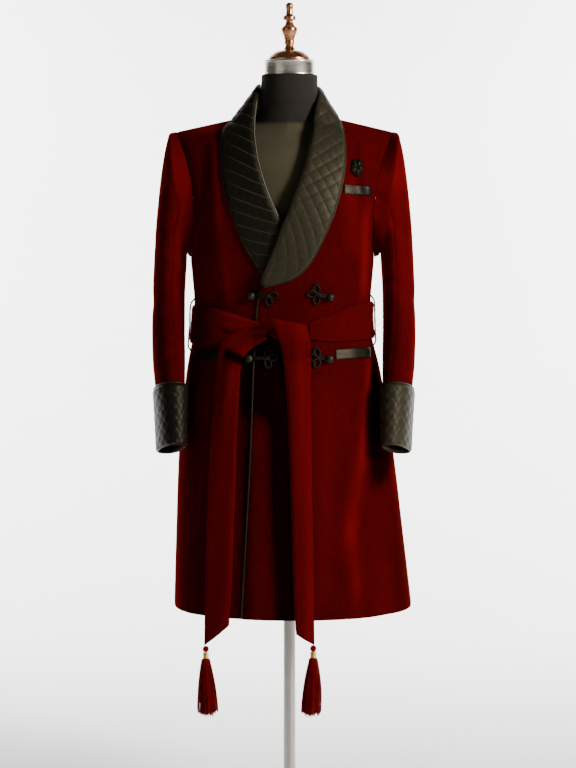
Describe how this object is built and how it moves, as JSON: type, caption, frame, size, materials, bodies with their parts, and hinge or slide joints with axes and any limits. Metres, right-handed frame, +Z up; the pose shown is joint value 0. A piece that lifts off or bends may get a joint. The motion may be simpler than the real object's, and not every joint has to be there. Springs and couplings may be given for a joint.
{
  "type": "smoking jacket on a dress form",
  "caption": "Knee-length velvet smoking jacket with a quilted satin shawl collar and cuffs, frog closures and a tied tasselled belt, worn by a limbless dress form on a pole stand",
  "frame": {"origin": "centre of the base's underside, on the floor", "axes": "+Z up; the jacket's front faces -Y, so +X is the wearer's left"},
  "size_m": [0.5382, 0.3816, 1.6795],
  "materials": {
    "velvet": "cut pile with a soft sheen",
    "satin": "black satin, quilted where padded",
    "tassel_thread": "twisted rayon thread",
    "gold": "bright gold thread band",
    "form_cloth": "plain dark jersey",
    "ring_metal": "polished, slightly warm",
    "finial_copper": "polished copper bronze",
    "stand_metal": "brushed, pale"
  },
  "bodies": {
    "root": {"front_left": "velvet", "front_right": "velvet", "back_left": "velvet", "back_right": "velvet", "sleeve_top_left": "velvet", "sleeve_top_right": "velvet", "sleeve_under_left": "velvet", "sleeve_under_right": "velvet", "cuff_left": "satin", "cuff_right": "satin", "cuff_piping_left": "satin", "cuff_piping_right": "satin", "collar_left": "satin", "collar_right": "satin", "front_piping": "satin", "welt_breast": "satin", "welt_hip_left": "satin", "welt_hip_right": "satin", "rosette": "satin", "frog_upper_left": "satin", "frog_upper_right": "satin", "frog_lower_left": "satin", "frog_lower_right": "satin", "ball_knot_upper_left": "satin", "ball_knot_upper_right": "satin", "ball_knot_lower_left": "satin", "ball_knot_lower_right": "satin", "belt_waist": "velvet", "belt_knot": "velvet", "belt_end_left": "velvet", "belt_end_right": "velvet", "belt_loop_left": "velvet", "belt_loop_right": "velvet", "tassel_ball_left": "tassel_thread", "tassel_ball_right": "tassel_thread", "tassel_band_left": "gold", "tassel_band_right": "gold", "tassel_left": "tassel_thread", "tassel_right": "tassel_thread", "form_torso": "form_cloth", "neck_cap_ring": "ring_metal", "finial": "finial_copper", "stand_pole": "stand_metal", "stand_base": "stand_metal"}
  },
  "joints": []
}
